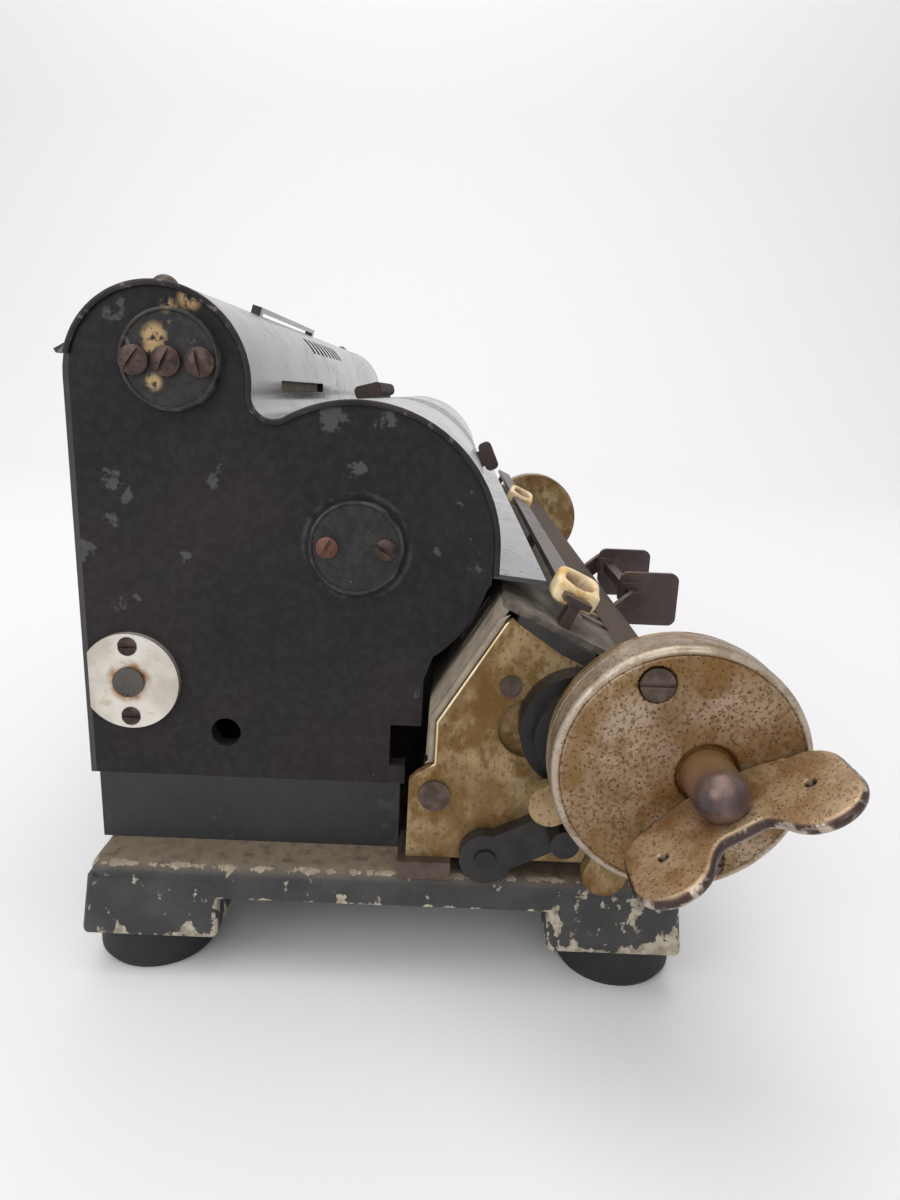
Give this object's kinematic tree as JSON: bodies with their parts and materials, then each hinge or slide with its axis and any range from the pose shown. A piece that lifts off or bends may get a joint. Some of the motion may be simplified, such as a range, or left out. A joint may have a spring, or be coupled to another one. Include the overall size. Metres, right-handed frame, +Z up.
{
  "type": "mechanical calculator",
  "caption": "Lever-set pinwheel calculator: humped black cover on a footed cast base, sliding register carriage with clearing wings at both ends, and a crank at the side.",
  "frame": {"origin": "on the floor under the middle of the machine's overall box", "axes": "+X along the machine to the user's right, +Y to the back, +Z up"},
  "size_m": [0.3798, 0.1524, 0.1503],
  "materials": {
    "base_paint": "worn satin",
    "foot_rubber": "matt",
    "black_enamel": "gloss",
    "brown_steel": "browned",
    "nickel": "polished",
    "machined_steel": "satin",
    "dark_steel": "satin",
    "black_wood": "varnished",
    "number_wheel": "satin",
    "worn_brass": "worn",
    "grey_paint": "dusty",
    "drum_nickel": "tarnished",
    "wing_nickel": "tarnished",
    "bronze": "tarnished",
    "ivory": "aged"
  },
  "bodies": {
    "frame": {"base_casting": "base_paint", "rubber_feet": "foot_rubber", "lower_frame": "black_enamel", "left_end_plate": "black_enamel", "right_end_plate": "black_enamel", "rear_cover": "black_enamel", "top_cover": "black_enamel", "bearing_caps": "black_enamel", "frame_screws": "brown_steel", "shaft_flanges": "nickel", "cross_shafts": "machined_steel", "carriage_rail": "machined_steel", "crank_bush": "machined_steel"},
    "carriage": {"left_carriage_plate": "worn_brass", "right_carriage_plate": "worn_brass", "carriage_fasteners": "brown_steel", "carriage_rear_plate": "grey_paint", "carriage_cover": "grey_paint", "shaft_bracket": "machined_steel", "carriage_buffers": "foot_rubber", "left_drum": "drum_nickel", "right_drum": "drum_nickel", "drum_plates": "worn_brass", "collars": "dark_steel", "carriage_bars": "machined_steel"},
    "crank": {"crank_shaft": "machined_steel", "crank_arm": "nickel"},
    "knob": {"crank_knob": "black_wood"},
    "rotor": {"rotor_shaft": "machined_steel", "pinwheels": "machined_steel"},
    "lever_1": {"setting_lever_1": "brown_steel"},
    "check_1": {"check_wheel_1": "number_wheel"},
    "lever_2": {"setting_lever_2": "brown_steel"},
    "check_2": {"check_wheel_2": "number_wheel"},
    "lever_3": {"setting_lever_3": "brown_steel"},
    "check_3": {"check_wheel_3": "number_wheel"},
    "lever_4": {"setting_lever_4": "brown_steel"},
    "check_4": {"check_wheel_4": "number_wheel"},
    "lever_5": {"setting_lever_5": "brown_steel"},
    "check_5": {"check_wheel_5": "number_wheel"},
    "lever_6": {"setting_lever_6": "brown_steel"},
    "check_6": {"check_wheel_6": "number_wheel"},
    "lever_7": {"setting_lever_7": "brown_steel"},
    "check_7": {"check_wheel_7": "number_wheel"},
    "lever_8": {"setting_lever_8": "brown_steel"},
    "check_8": {"check_wheel_8": "number_wheel"},
    "left_wing": {"left_wing": "wing_nickel", "left_stud": "bronze"},
    "counter": {"counter_shaft": "machined_steel", "counter_wheels": "number_wheel"},
    "left_latch": {"left_latch": "dark_steel"},
    "left_marker": {"left_marker": "ivory"},
    "left_tab": {"left_tab": "brown_steel"},
    "right_wing": {"right_wing": "wing_nickel", "right_stud": "bronze"},
    "result": {"result_shaft": "machined_steel", "result_wheels": "number_wheel"},
    "right_latch": {"right_latch": "dark_steel"},
    "right_marker": {"right_marker": "ivory"},
    "right_tab": {"right_tab": "brown_steel"}
  },
  "joints": [
    {"name": "carriage_slide", "type": "slide", "parent": "frame", "child": "carriage", "axis": [1, 0, 0], "range_m": [0, 0.056]},
    {"name": "crank_turn", "type": "hinge", "parent": "frame", "child": "crank", "pos_m": [0, 0.03908, 0.097], "axis": [1, 0, 0], "continuous": true},
    {"name": "knob_turn", "type": "hinge", "parent": "crank", "child": "knob", "pos_m": [0, 0.03908, 0.055], "axis": [1, 0, 0], "continuous": true},
    {"name": "rotor_turn", "type": "hinge", "parent": "frame", "child": "rotor", "pos_m": [0, 0.01508, 0.097], "axis": [1, 0, 0], "continuous": true},
    {"name": "lever_1_turn", "type": "hinge", "parent": "frame", "child": "lever_1", "pos_m": [0, 0.01508, 0.097], "axis": [1, 0, 0], "range_deg": [-81, 0]},
    {"name": "check_1_turn", "type": "hinge", "parent": "frame", "child": "check_1", "pos_m": [0, 0.05283, 0.11541], "axis": [1, 0, 0], "range_deg": [-0.5, 137.5]},
    {"name": "lever_2_turn", "type": "hinge", "parent": "frame", "child": "lever_2", "pos_m": [0, 0.01508, 0.097], "axis": [1, 0, 0], "range_deg": [0, 81]},
    {"name": "check_2_turn", "type": "hinge", "parent": "frame", "child": "check_2", "pos_m": [0, 0.05283, 0.11541], "axis": [1, 0, 0], "range_deg": [-137.5, 0.5]},
    {"name": "lever_3_turn", "type": "hinge", "parent": "frame", "child": "lever_3", "pos_m": [0, 0.01508, 0.097], "axis": [1, 0, 0], "range_deg": [0, 81]},
    {"name": "check_3_turn", "type": "hinge", "parent": "frame", "child": "check_3", "pos_m": [0, 0.05283, 0.11541], "axis": [1, 0, 0], "range_deg": [-137.5, 0.5]},
    {"name": "lever_4_turn", "type": "hinge", "parent": "frame", "child": "lever_4", "pos_m": [0, 0.01508, 0.097], "axis": [1, 0, 0], "range_deg": [0, 81]},
    {"name": "check_4_turn", "type": "hinge", "parent": "frame", "child": "check_4", "pos_m": [0, 0.05283, 0.11541], "axis": [1, 0, 0], "range_deg": [-137.5, 0.5]},
    {"name": "lever_5_turn", "type": "hinge", "parent": "frame", "child": "lever_5", "pos_m": [0, 0.01508, 0.097], "axis": [1, 0, 0], "range_deg": [0, 81]},
    {"name": "check_5_turn", "type": "hinge", "parent": "frame", "child": "check_5", "pos_m": [0, 0.05283, 0.11541], "axis": [1, 0, 0], "range_deg": [-137.5, 0.5]},
    {"name": "lever_6_turn", "type": "hinge", "parent": "frame", "child": "lever_6", "pos_m": [0, 0.01508, 0.097], "axis": [1, 0, 0], "range_deg": [0, 81]},
    {"name": "check_6_turn", "type": "hinge", "parent": "frame", "child": "check_6", "pos_m": [0, 0.05283, 0.11541], "axis": [1, 0, 0], "range_deg": [-137.5, 0.5]},
    {"name": "lever_7_turn", "type": "hinge", "parent": "frame", "child": "lever_7", "pos_m": [0, 0.01508, 0.097], "axis": [1, 0, 0], "range_deg": [0, 81]},
    {"name": "check_7_turn", "type": "hinge", "parent": "frame", "child": "check_7", "pos_m": [0, 0.05283, 0.11541], "axis": [1, 0, 0], "range_deg": [-137.5, 0.5]},
    {"name": "lever_8_turn", "type": "hinge", "parent": "frame", "child": "lever_8", "pos_m": [0, 0.01508, 0.097], "axis": [1, 0, 0], "range_deg": [0, 81]},
    {"name": "check_8_turn", "type": "hinge", "parent": "frame", "child": "check_8", "pos_m": [0, 0.05283, 0.11541], "axis": [1, 0, 0], "range_deg": [-137.5, 0.5]},
    {"name": "left_wing_turn", "type": "hinge", "parent": "carriage", "child": "left_wing", "pos_m": [0, -0.05398, 0.06228], "axis": [1, 0, 0], "range_deg": [0, 120]},
    {"name": "counter_clear", "type": "hinge", "parent": "carriage", "child": "counter", "pos_m": [0, -0.03242, 0.0636], "axis": [1, 0, 0], "range_deg": [-361, 1]},
    {"name": "left_latch_swing", "type": "hinge", "parent": "carriage", "child": "left_latch", "pos_m": [0, -0.01462, 0.0331], "axis": [1, 0, 0], "range_deg": [-4.5, 0]},
    {"name": "left_marker_slide", "type": "slide", "parent": "carriage", "child": "left_marker", "axis": [1, 0, 0], "range_m": [0, 0.14]},
    {"name": "left_tab_slide", "type": "slide", "parent": "carriage", "child": "left_tab", "axis": [1, 0, 0], "range_m": [0, 0.005]},
    {"name": "right_wing_turn", "type": "hinge", "parent": "carriage", "child": "right_wing", "pos_m": [0, -0.05398, 0.06228], "axis": [1, 0, 0], "range_deg": [0, 120]},
    {"name": "result_clear", "type": "hinge", "parent": "carriage", "child": "result", "pos_m": [0, -0.03242, 0.0636], "axis": [1, 0, 0], "range_deg": [-361, 1]},
    {"name": "right_latch_swing", "type": "hinge", "parent": "carriage", "child": "right_latch", "pos_m": [0, -0.01462, 0.0331], "axis": [1, 0, 0], "range_deg": [-4.5, 0]},
    {"name": "right_marker_slide", "type": "slide", "parent": "carriage", "child": "right_marker", "axis": [1, 0, 0], "range_m": [0, 0.1]},
    {"name": "right_tab_slide", "type": "slide", "parent": "carriage", "child": "right_tab", "axis": [-1, 0, 0], "range_m": [0, 0.005]}
  ],
  "couplings": [
    {"joint": "rotor_turn", "follows": "crank_turn", "ratio": -1},
    {"joint": "check_1_turn", "follows": "lever_1_turn", "ratio": -1.6923},
    {"joint": "check_2_turn", "follows": "lever_2_turn", "ratio": -1.6923},
    {"joint": "check_3_turn", "follows": "lever_3_turn", "ratio": -1.6923},
    {"joint": "check_4_turn", "follows": "lever_4_turn", "ratio": -1.6923},
    {"joint": "check_5_turn", "follows": "lever_5_turn", "ratio": -1.6923},
    {"joint": "check_6_turn", "follows": "lever_6_turn", "ratio": -1.6923},
    {"joint": "check_7_turn", "follows": "lever_7_turn", "ratio": -1.6923},
    {"joint": "check_8_turn", "follows": "lever_8_turn", "ratio": -1.6923},
    {"joint": "counter_clear", "follows": "left_wing_turn", "ratio": -3},
    {"joint": "result_clear", "follows": "right_wing_turn", "ratio": -3}
  ]
}
